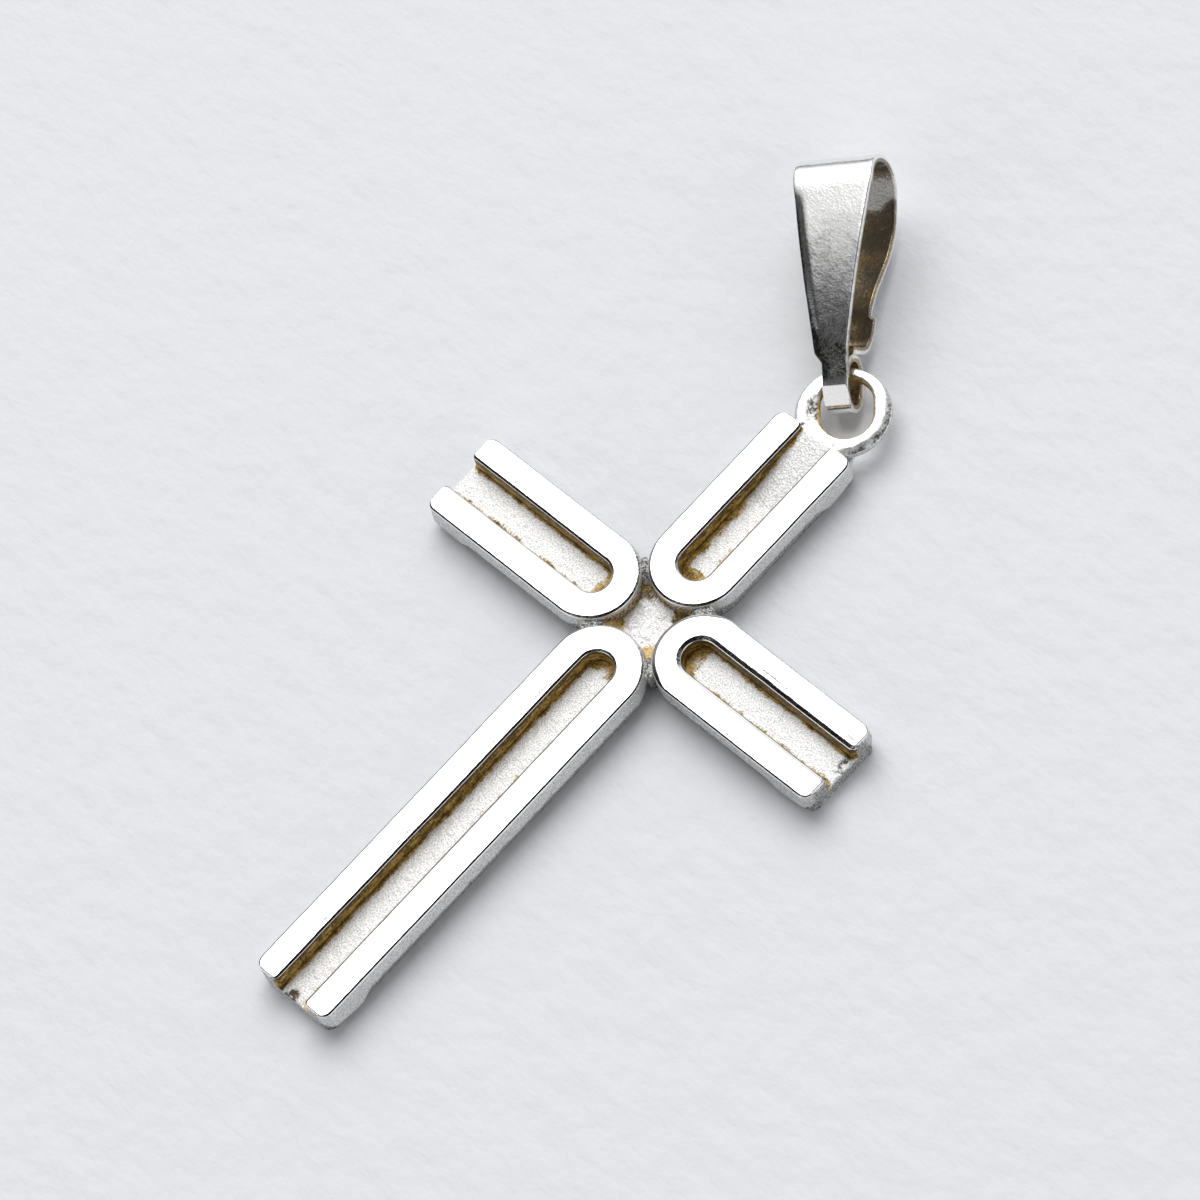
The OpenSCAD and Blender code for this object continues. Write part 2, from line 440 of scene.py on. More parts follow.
        skin = Skin()
        points = place()
        angle = radians(self.turn)
        turn = np.array([[cos(angle), -sin(angle), 0], [sin(angle), cos(angle), 0], [0, 0, 1]])
        facing = (out @ turn[:2, :2].T @ WORN_AND_SHADED_SIDE)[:, None]
        skin.grid(points, **self._stains(points, inner, facing, away, bend, rough))
        for end, flip in ((points[0], False), (points[-1], True)):
            face = end[zones < Zone.BACK.value]
            back = np.concatenate([face[-1:], end[zones == Zone.BACK.value]])
            below = back[np.argmin(abs(face[:, :1] - back[None, :, 0]), axis=1)]
            layers = np.stack([face + (below - face) * s for s in steps(0, 1, 0.2)], axis=1)
            # The open ends' faces are darkened with painted shade, a little more than the sides
            skin.grid(layers, flip=flip, sand=1.0, dull=0.3 + self.side_dull)
        return skin.mesh_object(self.name, turn)

    def _stains(self, points: Array, inner: Array, facing: Array, away: Array, bend: Array,
                rough: dict[float, Array]) -> dict[str, Array]:
        """Paints the brown tarnish, its tone, the sandy skin, the wear and crusts, and painted shade with
        dark reflection lines.

        Args:
            points: The arm's places, before it is turned.
            inner: Half width of the channel at each station.
            facing: How far each station's outer side looks to the worn and shaded side, from -1 to 1.
            away: Each station's distance from the open end.
            bend: How far each station lies in the bend.
            rough: Noise at every place, by the size of its cells.

        Returns:
            The painted values by name.
        """
        floor, wall, inner_crest, top, outer_crest, side, bevel, _ = (self._on(z) for z in Zone)
        share, fine = self._columns()[1], rough[0.25]

        # The floor: tarnish at the foot of the walls, broken by noise, and crusts at the open end
        gap = inner - self.draft - np.hypot(points[..., 0], np.minimum(points[..., 1] - self.bend_at, 0))
        ragged = 0.5 * fine + 0.5 * rough[0.55]
        lee = np.clip(facing, 0, 1)
        foot = smooth(0.0, -0.4, facing) * self.foot_stain
        reach = self.thin_stain + self.lee_stain * lee + self.bend_stain * bend + foot
        reach = reach + (0.06 + 0.12 * lee + 0.15 * bend + 0.8 * foot) * ragged
        cover = np.clip(1.3 - gap / np.maximum(reach, 0.03), 0, 1) * floor
        cover *= 1 - 0.75 * smooth(0.35, -0.25, rough[0.9] + 0.3 * fine) * lee * (1 - bend)
        pits = smooth(0.5, 0.2, away) * smooth(-0.3, 0.2, rough[0.14] + 0.5 * rough[0.55])
        crust = self.crust * pits * smooth(0.3, -0.35, facing * share) * floor
        cover = np.maximum(cover, 0.5 * crust)

        # The channel's walls with the foot of their crests, and the sides at the star
        stained = wall + inner_crest * smooth(0.12, 0.05, share)
        cover = np.maximum(cover, stained * (smooth(-0.1, -0.4, facing) + 0.7))
        star = smooth(2.15, 1.6, np.hypot(points[..., 0], points[..., 1])) * side
        cover = np.maximum(cover, 0.75 * star * smooth(-0.05, 0.3, share))

        streak = np.exp(-((share - 0.40 - 0.22 * rough[1.4]) / 0.12) ** 2) * smooth(-0.5, 0.2, rough[0.9])
        grain = noise(points * [1, 1, 4], 0.28, self.seed + 40)
        wall_tone = self.wall_shade - 0.2 * streak + 0.5 * grain + 0.2 * ragged
        wall_tone = wall_tone + 0.3 * smooth(0.3, 0.05, share) + 0.3 * smooth(0.7, 0.95, share)
        tones = (
            (side > 0, 0.75 + 0.2 * fine),
            (crust > 0.3, 1.1),
            ((floor > 0) & (bend > 0.4), 0.45 + 0.35 * rough[0.35]),
            ((floor > 0) & (lee < 0.5), 0.5 + 0.25 * fine),
            ((inner_crest > 0) & (share < 0.1), 0.95),
            (wall > 0, wall_tone),
        )
        tone = np.select(*zip(*tones), 0.16 + 0.2 * fine)

        # Painted dark reflection lines along the crests, painted shade on the sides, their lower halves and
        # the bevels, and wear at the edges of the tops
        seen = smooth(0.25, -0.35, facing) * inner_crest
        seen = seen + (0.3 + 0.7 * smooth(-0.35, 0.25, facing)) * outer_crest
        line = smooth(0.22, 0.36, share) * smooth(1.7, 1.2, share + 0.25 * rough[0.14]) * seen
        lower = smooth(-0.06, 0.08, share - self._belly_at(away, bend, 0.4) + 0.06 * fine) * side
        worn = smooth(-0.4, 0.6, 0.6 * rough[0.09] + 0.5 * rough[0.9] + 0.2 * rough[0.35])
        seen_in = smooth(0.2, -0.3, facing) * smooth(0.45, 0.02, share)
        seen_out = smooth(-0.2, 0.3, facing) * smooth(0.65, 0.98, share)
        worn = worn * np.clip(seen_in + 0.8 * seen_out, 0, 1) * top
        sand = floor + 0.3 * wall + 0.9 * side + bevel + 0.9 * self._on(Zone.BACK) + self.wear * worn
        dull = 0.8 * line + self.side_dull * side + 0.5 * lower + 0.7 * bevel + 0.35 * worn + 1.5 * crust
        return {"tarnish": cover, "tone": tone, "sand": sand, "dull": dull}


@dataclass
class Crossing:
    """The star in the middle of the cross, with the webs that fill its corners.

    All sizes are in millimetres. A low ridge runs out along each web's middle.
    """

    reach: float = 1.835
    star_half: float = 1.4107
    floor: float = 0.72
    web: float = 1.33
    ramp_from: float = 0.7
    corner: float = 0.12
    grit: float = 0.03
    web_grit: float = 0.005
    ridge: float = 0.035
    ridge_width: float = 0.07
    foot: float = 0.25
    spacing: float = 0.048
    seed: int = 71

    def build(self) -> bpy.types.Object:
        """Builds the star's floor and the webs as one closed plate.

        Returns:
            The plate, in place.
        """
        line = steps(-self.reach, self.reach, self.spacing)
        x, y = np.meshgrid(line, line, indexing="ij")
        spot = np.stack([x, y, np.zeros_like(x)], axis=-1)
        grit = 0.6 * noise(spot, 0.11, self.seed) + 0.4 * noise(spot, 0.22, self.seed + 1)
        toward = (abs(x) + abs(y)) / 2 + 0.03 * noise(spot, 0.3, self.seed + 2)
        rise = smooth(self.ramp_from, self.star_half, toward)
        z = self.floor + (self.web - self.floor) * rise
        z += grit * (self.grit * (1 - rise) + self.web_grit * rise)
        ridge = np.exp(-((abs(x) - abs(y)) / self.ridge_width) ** 2)
        z += self.ridge * ridge * smooth(0.3, 0.8, rise)
        z -= self.corner * smooth(self.reach - self.corner, self.reach, np.minimum(abs(x), abs(y)))
        ragged = noise(spot, 0.3, self.seed + 3)
        stain = smooth(0.52, 0.78, toward + 0.12 * ragged) * smooth(1.25, 1.05, toward)
        stain *= np.where((x < 0) & (y > 0), 0.7, 1.0)
        same = (np.sign(x) == np.sign(y)) * 1.0
        tone = 0.35 + same * np.where(x > 0, 0.5, 0.1) + (1 - same) * np.where(x < 0, 0.35, -0.2)
        tone = tone + 0.2 * noise(spot, 0.25, self.seed + 4)
        # Painted shade: the webs darken as they rise out of the star
        dull = 0.72 * smooth(0.35, 0.8, rise) + 0.1 * noise(spot, 0.2, self.seed + 5) * rise
        skin, plate = Skin(), np.stack([x, y, z], axis=-1)
        skin.grid(plate, tarnish=stain, tone=tone, sand=1.0, dull=dull)
        rim = np.concatenate([plate[:-1, 0], plate[-1, :-1], plate[:0:-1, -1], plate[0, :0:-1]])
        down = steps(0, 1, 0.12)
        levels = np.stack([rim * [1, 1, 1 - s] + [0, 0, self.foot * s] for s in down], axis=1)
        # Painted shade: the plate's outer faces darken towards the bottom
        skin.grid(levels, ring=True, sand=1.0, dull=0.6 * down + 0.25)
        skin.polygon(levels[:, -1], sand=0.7)
        return skin.mesh_object("crossing")


@dataclass
class Eye:
    """The flat ring on the end of the top arm, with its worn hole and its root.

    All sizes are in millimetres. A slope leads from the channel's floor up to the ring.
    """

    middle: float = 11.0
    radius: float = 1.875
    hole: float = 1.03
    hole_shift: float = 0.19
    hole_wear: float = 0.25
    wear_bearing: float = 43.0
    top: float = 1.35
    bottom: float = 0.81
    root_half: float = 1.455
    root_at: float = 9.18
    channel_half: float = 0.73
    channel_floor: float = 0.72
    slope_from: float = 6.3
    slope_to: float = 9.95
    slope_lead: float = 0.35
    slope_end: float = 10.05
    slope_clear: float = 0.16

    # How far the ring is worn down, right and left, and the root's outline along and up
    right_wear: float = 0.11
    left_wear: float = 0.08
    root_profile: tuple = ((0.0, 0.6), (0.3, 0.7), (0.84, 0.9), (0.84, 0.81), (0.62, 0.56), (0.42, 0.32),
                           (0.2, 0.3), (0.0, 0.3))

    # How square the ring's section is, from 2 for round, and its faces round the hole and round the wire
    squareness: float = 3.4
    turns: int = 260
    rounds: int = 56
    seed: int = 91

    def _hole_point(self, angle: float) -> Array:
        """Finds a point of the worn hole's edge: two half circles, joined by straight sides.

        Args:
            angle: The direction from the middle of the hole, in radians.

        Returns:
            Its x and y from the middle of the hole.
        """
        bearing = radians(self.wear_bearing)
        axis = np.array([-sin(bearing), cos(bearing)])
        ray = np.array([cos(angle), sin(angle)])
        along = ray @ axis
        centre = axis * self.hole_wear * (1 if along >= 0 else -1)
        across = abs(ray[0] * axis[1] - ray[1] * axis[0])
        if across > 1e-9 and abs(along) * self.hole / across < self.hole_wear:
            return ray * self.hole / across
        near = ray @ centre
        return ray * (near + sqrt(near * near - centre @ centre + self.hole**2))

    def build(self) -> bpy.types.Object:
        """Builds the ring and its root.

        Returns:
            The eye, in place.
        """
        skin = Skin()
        self._ring(skin)
        self._slope(skin)
        across = steps(-self.root_half, self.root_half, 0.06)
        block = np.array([[(x, self.root_at + y, z) for x in across] for y, z in self.root_profile])
        skin.grid(block, ring=True, sand=0.8)
        for side in (0, -1):
            skin.polygon(block[:, side], sand=0.8)
        return skin.mesh_object("eye")

    def _ring(self, skin: Skin) -> None:
        """Builds the ring, flattened on both faces and worn lower where it faces down right.

        Args:
            skin: The mesh to add to.
        """
        angles = np.linspace(0, 2 * pi, self.turns, endpoint=False)
        ray = np.stack([np.cos(angles), np.sin(angles)], axis=1)
        hole = np.array([0, self.middle + self.hole_shift])
        inner = np.array([self._hole_point(a) for a in angles]) + hole
        back = ray[:, 1:] * self.hole_shift
        outer = ray * (np.sqrt(back**2 - self.hole_shift**2 + self.radius**2) - back) + hole
        round_wire = np.append(np.linspace(0, 2 * pi, self.rounds, endpoint=False), 0)
        bent = np.array([np.cos(round_wire), np.sin(round_wire)])
        bent = np.sign(bent) * abs(bent) ** (2 / self.squareness)
        share, level = 0.5 + 0.5 * bent[0], bent[1]
        half = (self.top - self.bottom) / 2
        flat = inner[:, None] + (outer - inner)[:, None] * share[:, None]
        height = np.broadcast_to(self.bottom + half + level * half, flat.shape[:2])
        ring = np.concatenate([flat, height[..., None]], axis=-1)

        # The wear: low on the right and on the left, and cut down where the channel runs in
        turned = np.degrees((angles + pi) % (2 * pi) - pi)[:, None]
        grit, swell = noise(ring, 0.1, self.seed), noise(ring, 0.7, self.seed + 1)
        rough = 0.5 * noise(ring, 0.16, self.seed + 2) + 0.5 * noise(ring, 0.3, self.seed + 3)
        low_right = smooth(-75, -35, turned) * smooth(75, 30, turned) * smooth(0.5, 1.0, share + 0.08 * rough)
        low_left = smooth(-175, -150, turned) * smooth(-100, -125, turned)
        low_left = low_left * smooth(0.72, 0.35, share + 0.1 * rough)
        upper = smooth(0.2, 0.8, level)
        ring[..., 2] -= np.sign(level) * (0.004 * (1 + grit) + 0.006 * (1 + swell)) * level**2
        drop = self.right_wear * low_right + self.left_wear * low_left
        ring[..., 2] -= upper * (drop + 0.008 * (low_right + low_left) * grit)
        cut = smooth(self.channel_half + 0.25, self.channel_half, abs(ring[..., 0]))
        cut *= ring[..., 1] < self.middle
        slope = self._slope_height(ring[..., 1]) - 0.03
        ring[..., 2] = ring[..., 2] * (1 - cut) + np.minimum(ring[..., 2], slope) * cut

        bore = smooth(0.16, 0.06, share) * smooth(0.95, 0.7, level)
        sand = 0.3 + 0.6 * np.clip(low_right + low_left, 0, 1) * upper + 0.5 * smooth(0.9, 0.98, share)
        tone = 0.4 + 0.35 * rough + 0.3 * smooth(0.3, -0.5, level)
        # Painted dark reflection streaks on the worn parts, right and left, and painted shade on the ring's
        # outer wall
        streak = smooth(-0.75, 0.25, rough + 0.5 * grit) * upper
        dull = streak * (low_right * smooth(1.0, 0.9, share) + low_left) + 0.25 * smooth(0.93, 0.99, share)
        skin.grid(ring, ring=True, tarnish=bore, tone=tone, sand=np.clip(sand, 0, 1), dull=dull)

    def _slope_height(self, y: Array) -> Array:
        """Finds how high the slope from the channel's floor to the ring's top is.

        Args:
            y: Places along the arm.

        Returns:
            Their heights.
        """
        even = np.clip((y - self.slope_from) / (self.slope_to - self.slope_from), 0, 1)
        rise = 0.75 * even + 0.25 * smooth(self.slope_from, self.slope_to, y)
        return self.channel_floor + (self.top - 0.012 - self.channel_floor) * rise

    def _slope(self, skin: Skin) -> None:
        """Builds the slope that leads from the channel's floor up to the ring's top.

        Args:
            skin: The mesh to add to.
        """
        along = steps(0.0, 1.0, 0.0125)[:, None]
        across = steps(-self.channel_half - 0.1, self.channel_half + 0.1, 0.045)
        x = np.broadcast_to(across, (len(along), len(across)))
        hole = np.array([self._hole_point(atan2(-1.0, v / 1.05))[1] for v in across])
        end = np.minimum(self.middle + self.hole_shift + hole - self.slope_clear, self.slope_end)
        start = self.slope_from - self.slope_lead
        y = start + (end - start) * along
        z = self._slope_height(y) + 0.004 - 0.03 * smooth(0.93, 1.0, along) - 0.02 * (along < 0.001)
        spot = np.stack([x, y, z], axis=-1)
        side = smooth(self.channel_half - 0.1, self.channel_half + 0.05, abs(x)) * (y > 9.62)
        rough = noise(spot, 0.2, self.seed + 5)
        spot[..., 2] += 0.003 * noise(spot, 0.12, self.seed + 4) * (1 - along) - 0.05 * side
        stain = smooth(self.channel_half - 0.16, self.channel_half - 0.02, abs(x) + 0.08 * rough)
        stain = stain * np.where(x > 0, 0.55, 0.9) * smooth(9.7, 9.4, y)
        base = spot.copy()
        base[..., 2] = np.minimum(spot[..., 2] - 0.03, 0.6 + 0.25 * smooth(9.3, 9.5, y))

        def closed(upper: Array, lower: Array) -> Array:
            """Joins the upper and the lower side into sections that go once round."""
            return np.concatenate([upper, lower[:, ::-1]], axis=1).swapaxes(0, 1)

        solid, plain = closed(spot, base), np.zeros_like(stain)
        skin.grid(solid, ring=True, tarnish=closed(stain, plain), tone=closed(0.3 + 0.3 * rough, plain),
                  sand=closed(1.0 - 0.6 * smooth(9.3, 9.8, y), plain + 0.8))
        for section in (solid[:, 0], solid[:, -1]):
            skin.polygon(section, sand=0.8)


# ---- the bail ----


@dataclass
class Bail:
    """The bail: a tapered strip folded over, with a small loop round the eye's wire.

    Sizes are in millimetres. Along runs from the hinge to the fold, and out is out of the front face.
    """

    # Where and how it lies
    hinge: tuple = (-0.99378, 12.06570, 1.08)
    bearing: float = 40.0
    pitch: float = 16.0
    roll: float = 12.0

    # The strip, its two loops and the slant at its tip
    thick: float = 0.32
    fold: float = 8.54
    gape: float = 2.98
    loop: float = 0.6151
    slack: float = 0.5
    taper: float = 0.08
    edge: float = 0.07
    bow: float = 0.24
    soft_rounds: int = 60
    tip_from: float = -0.4
    tip_gap: float = 0.04
    tip_level: float = 0.905
    tip_slope: float = 0.404

    # Wear on its left edge, the seam of its tips, and dents
    left_chamfer: float = 0.42
    chamfer_depth: float = 0.11
    seam_depth: float = 0.09
    seam_at: tuple = (-1.07, 0.44)
    sunk: float = 0.008
    dents: float = 0.006
    fine_dents: float = 0.0012
    loop_lift: float = 0.003
    spacing: float = 0.06
    seed: int = 131

    # Each edge of each leg: places along, and how far right of the hinge's middle the edge lies there
    front_left: tuple = ((0.49, 0.87, 7.66), (-0.52, -0.794, -1.754))
    front_right: tuple = ((0.49, 0.85, 0.87, 7.66), (0.52, 0.546, 0.526, 1.486))
    back_left: tuple = ((0.62, 2.57, 7.66), (-0.52, -1.054, -1.754))
    back_right: tuple = ((0.62, 2.39, 2.57, 7.66), (0.52, 0.966, 0.786, 1.486))

    # The middle line over the fold and down the back leg: shares of the fold, and of the gape behind
    path_shares: tuple = (
        (0.820, 0.000), (0.891, 0.020), (0.940, 0.067), (0.975, 0.157), (0.995, 0.292), (1.000, 0.460),
        (0.987, 0.627), (0.953, 0.761), (0.897, 0.862), (0.821, 0.946), (0.727, 1.000), (0.651, 0.970),
        (0.586, 0.916), (0.528, 0.825), (0.475, 0.735), (0.422, 0.647), (0.369, 0.587), (0.317, 0.553),
        (0.270, 0.567), (0.223, 0.594), (0.182, 0.587), (0.152, 0.537), (0.134, 0.426), (0.127, 0.292),
        (0.124, 0.157),
    )

    def _curve(self, points: Array, count: int) -> Array:
        """Runs a smooth curve through points.

        Args:
            points: The points, with their ends held.
            count: Steps between two points.

        Returns:
            The curve's points.
        """
        padded = np.concatenate([points[:1], points, points[-1:]])[:, None]
        p0, p1, p2, p3 = (padded[k:k + len(points) - 1] for k in range(4))
        t = (np.arange(count) / count)[:, None]
        rows = 0.5 * (2 * p1 + (p2 - p0) * t + (2 * p0 - 5 * p1 + 4 * p2 - p3) * t**2
                      + (3 * p1 - p0 - 3 * p2 + p3) * t**3)
        return np.concatenate([rows.reshape(-1, 2), points[-1:]])

    def _strip_path(self) -> Array:
        """Draws the strip's middle line from the wire, over the fold and down the back leg.

        Returns:
            Its places along and out.
        """
        out = self.loop + self.thick / 2
        shares = np.array(self.path_shares)
        bent = self._curve(np.stack([shares[:, 0] * self.fold, out - shares[:, 1] * self.gape], axis=1), 8)
        along = steps(self.tip_gap + self.tip_from, bent[0, 0], self.spacing)[:-1]
        leg = np.stack([along, out + self.taper / self.slack / 2 * np.minimum(along, 0)], axis=1)
        path = np.concatenate([leg, bent])
        straight = bent[0, 0] / 2
        bow = np.clip(1 - ((path[:, 0] - straight) / straight) ** 2, 0, 1) * (path[:, 1] > out - 0.01)
        path[:, 1] += self.bow * bow
        soft = path.copy()
        for _ in range(self.soft_rounds):
            soft[1:-1] = (soft[:-2] + 2 * soft[1:-1] + soft[2:]) / 4
        share = smooth(5.9, 6.6, path[:, 0]) * smooth(8.1, 7.7, path[:, 0]) * (path[:, 1] > 0)
        return path + (soft - path) * share[:, None]

    def _loop_path(self) -> Array:
        """Draws the small loop's middle line, all the way round.

        Returns:
            Its places along and out.
        """
        r = self.loop + self.thick / 2
        a = steps(pi / 2, -pi / 2, self.spacing / r)[:-1]
        near = np.stack([r * np.cos(a), r * np.sin(a)], axis=1)
        r -= self.taper
        a = steps(-pi / 2, -1.5 * pi, 0.4 * self.spacing / r)[:-1]
        tips = np.stack([-self.slack + r * np.cos(a), self.taper / 2 + r * np.sin(a)], axis=1)
        joins = []
        for start, end in ((near[-1], tips[0]), (tips[-1], near[0])):
            share = np.linspace(0, 1, 16)[1:-1, None]
            joins.append(start + (end - start) * share)
        return np.concatenate([near, joins[0], tips, joins[1]])

    def _edges(self, along: Array, out: Array) -> tuple[Array, Array]:
        """Finds where the strip's left and right edges lie.

        Args:
            along: Places along the bail.
            out: Places out of its front face. The back leg's are below 0.

        Returns:
            The left and the right edge.
        """
        front = smooth(-0.1, 0.1, out)
        pairs = ((self.back_left, self.front_left), (self.back_right, self.front_right))
        back_and_front = ([np.interp(along, *table) for table in pair] for pair in pairs)
        return tuple((b + (f - b) * front)[:, None] for b, f in back_and_front)

    def _sweep(self, skin: Skin, path: Array, ring: bool, groove: Array) -> None:
        """Sweeps the strip's rounded section along a path.

        Args:
            skin: The mesh to add to.
            path: The middle line, as places along and out.
            ring: Whether the path closes on itself.
            groove: How far the outer face is pressed in at each point of the path, in a column.
        """
        if ring:
            ahead, behind = np.roll(path, -1, axis=0), np.roll(path, 1, axis=0)
        else:
            ahead = np.concatenate([path[1:], path[-1:]])
            behind = np.concatenate([path[:1], path[:-1]])
        heading = ahead - behind
        heading /= np.linalg.norm(heading, axis=1, keepdims=True)
        normal = np.stack([-heading[:, 1], heading[:, 0]], axis=1)
        left, right = self._edges(path[:, 0], path[:, 1])
        side, shift, level = self._rounded_section()
        width = (left + right) / 2 + side * (right - left) / 2 + shift
        outer = np.clip(level / (self.thick / 2), 0, 1)
        front = outer * (path[:, 1:] > 0) * np.clip(normal[:, 1:], 0, 1)
        rim = self.chamfer_depth * smooth(self.left_chamfer, 0.0, width - left)
        rim = rim * smooth(1.0, 1.9, path[:, :1]) * smooth(7.5, 6.4, path[:, :1])
        depth = level - groove * outer - rim * front
        u = path[:, :1] + normal[:, :1] * depth
        n = path[:, 1:] + normal[:, 1:] * depth
        spot = np.stack([u, width, n], axis=-1)
        flat = self.tip_level - self.tip_slope * np.clip(self.tip_from - u, 0, None) - 0.12 * groove
        n = np.where((outer > 0.5) & (u < self.tip_from), np.minimum(n, flat), n)
        if not ring:
            n = n + self.loop_lift
        dent = self.dents * noise(spot, 0.9, self.seed) + self.fine_dents * noise(spot, 0.25, self.seed + 1)
        dent += self.sunk
        u = u - normal[:, :1] * dent * np.sign(level)
        n = n - normal[:, 1:] * dent * np.sign(level)
        nicks = self.dents * (1 + noise(spot, 0.5, self.seed + 2))
        width = width - np.sign(side) * (abs(side) > 0.99) * nicks

        # The brown inside with a bright patch in the fold, and the seam of the tips
        blot = 0.3 * noise(spot, 0.6, self.seed + 6)
        patch = smooth(6.9, 7.4, u + blot) * smooth(8.3, 7.7, u) * (n < -0.2)
        inside = (level < 0) * (1 - 0.95 * patch)
        seam = smooth(0.25, 0.8, groove / max(groove.max(), 0.01)) * outer
        shade = 0.25 * smooth(4.8, 6.6, u) * (n < 0.3) + 0.3 * noise(spot, 0.7, self.seed + 3)
        tone = np.where(level < 0, 0.8 + shade, 0.5)
        sand = 0.18 + 0.8 * (level < 0) * (1 - inside)

        # Painted dark reflection on the front's foot and left edge, and its mottled lower half
        low_end = smooth(3.2, 0.6, u)
        edge = smooth(0.16 + 0.3 * low_end, 0.02 + 0.1 * low_end, width - left) * smooth(7.2, 6.2, u)
        mottle = smooth(-0.3, 0.7, noise(spot, 0.13, self.seed + 4) + 0.6 * noise(spot, 0.33, self.seed + 5))
        shaded = 0.42 * low_end + 0.95 * edge + 0.3 * mottle * smooth(6.6, 5.2, u)
        shaded = shaded * (n > 0.4) * (level > -0.1) * smooth(-0.3, 0.05, u)
        places = np.stack([u, width, n], axis=-1)
        skin.grid(places, ring=ring, tarnish=np.maximum(inside, seam), tone=tone, sand=sand, dull=shaded)
        if not ring:
            for end in (0, -1):
                skin.polygon(places[end, :-1])

    def _rounded_section(self) -> tuple[Array, Array, Array]:
        """Goes once round the strip's section, whose edges are rounded.

        Returns:
            For each point the edge it belongs to (-1 left, 1 right), its distance from it and its level.
        """
        half, e = self.thick / 2, self.edge
        arcs = []
        for number, (x, y) in enumerate(((1, 1), (-1, 1), (-1, -1), (1, -1))):
            a = (number + np.linspace(0, 1, 5)) * pi / 2
            arcs.append(np.stack([x + 0 * a, np.cos(a) * e - x * e, y * (half - e) + np.sin(a) * e], axis=1))
        section = []
        for arc, after, count in zip(arcs, arcs[1:] + arcs[:1], (25, 4, 25, 4)):
            share = np.linspace(0, 1, count)[1:-1, None]
            section += [arc, arc[-1] + (after[0] - arc[-1]) * share]
        return tuple(np.concatenate([*section, arcs[0][:1]]).T)

    def build(self) -> bpy.types.Object:
        """Builds the bail.

        Returns:
            The bail, lying as it does on the paper.
        """
        skin = Skin()
        strip = self._strip_path()
        self._sweep(skin, strip, False, np.zeros((len(strip), 1)))
        loop = self._loop_path()
        seam = np.linalg.norm(loop - self.seam_at, axis=1, keepdims=True)
        self._sweep(skin, loop, True, self.seam_depth * smooth(0.08, 0.02, seam))
        turn = np.array(Matrix.Rotation(radians(self.bearing), 3, "Z")
                        @ Matrix.Rotation(radians(self.pitch), 3, "X")
                        @ Matrix.Rotation(radians(-self.roll), 3, "Y"))
        return skin.mesh_object("bail_strip", turn[:, [1, 0, 2]], self.hinge)


# ---- shader wiring ----


class Wiring:
    """Adds and joins the nodes of one tree."""

    def __init__(self, tree: bpy.types.NodeTree) -> None:
        """Keeps the tree."""
        self.tree = tree

    def feed(self, node: bpy.types.Node, inputs: dict[Any, Any]) -> bpy.types.Node:
        """Sets a node's inputs.

        Args:
            node: The node.
            inputs: A value or another node's output for each input, by name or number.

        Returns:
            The node.
        """
        for key, value in inputs.items():
            if isinstance(value, Socket):
                self.tree.links.new(value, node.inputs[key])
            else:
                node.inputs[key].default_value = value
        return node

    def add(self, kind: str, inputs: dict[Any, Any] | None = None, **settings: Any) -> bpy.types.Node:
        """Adds a node.

        Args:
            kind: The node's type.
            inputs: What its inputs get.
            **settings: The node's own settings.

        Returns:
            The node.
        """
        node = self.tree.nodes.new(kind)
        for key, value in settings.items():
            setattr(node, key, value)
        return self.feed(node, inputs or {})

    def math(self, operation: str, a: Any, b: Any = 0.0, clamp: bool = False) -> Socket:
        """Adds a Math node.

        Args:
            operation: Its operation.
            a: First value or output.
            b: Second value or output.
            clamp: Whether the result stays from 0 to 1.

        Returns:
            Its output.
        """
        return self.add("ShaderNodeMath", {0: a, 1: b}, operation=operation, use_clamp=clamp).outputs[0]

    def between(self, value: Any, low: float, high: float, start: float = 0.0, end: float = 1.0) -> Any:
        """Maps a value smoothly from one range to another.

        Args:
            value: The output to read.
            low: Start of its range.
            high: End of its range.
            start: What low becomes.
            end: What high becomes.

        Returns:
            The mapped output.
        """
        node = self.add("ShaderNodeMapRange", {0: value, 1: low, 2: high, 3: start, 4: end},
                        interpolation_type="SMOOTHSTEP")
        return node.outputs[0]

    def blend(self, share: Any, a: Any, b: Any) -> Socket:
        """Mixes two colours.

        Args:
            share: How much of the second shows.
            a: First colour.
            b: Second colour.

        Returns:
            The mixed colour.
        """
        return self.add("ShaderNodeMix", {0: share, 6: a, 7: b}, data_type="RGBA").outputs[2]

    def grain(self, where: Any, size: float, detail: float = 2.0) -> Socket:
        """Adds a noise.

        Args:
            where: Its coordinates.
            size: Size of its features, in millimetres.
            detail: How many finer layers it has.

        Returns:
            Its values, about 0 to 1.
        """
        node = self.add("ShaderNodeTexNoise", {"Vector": where, "Scale": 1 / (size * MM), "Detail": detail})
        return node.outputs["Fac"]

    def bump(self, height: Socket, depth: float, below: dict[str, Socket] | None = None) -> Socket:
        """Adds a bump.

        Args:
            height: Its height.
            depth: How deep it goes, in millimetres.
            below: The normal that it lies on, if any.

        Returns:
            Its normal.
        """
        inputs = {"Height": height, "Distance": depth * MM, "Strength": 1.0}
        return self.add("ShaderNodeBump", {**inputs, **(below or {})}).outputs[0]


def blank_wiring(owner: bpy.types.ID) -> Wiring:
    """Empties the nodes of a material or a world.

    Args:
        owner: The material or the world.

    Returns:
        The wiring of its node tree.
    """
    owner.use_nodes = True
    owner.node_tree.nodes.clear()
    return Wiring(owner.node_tree)


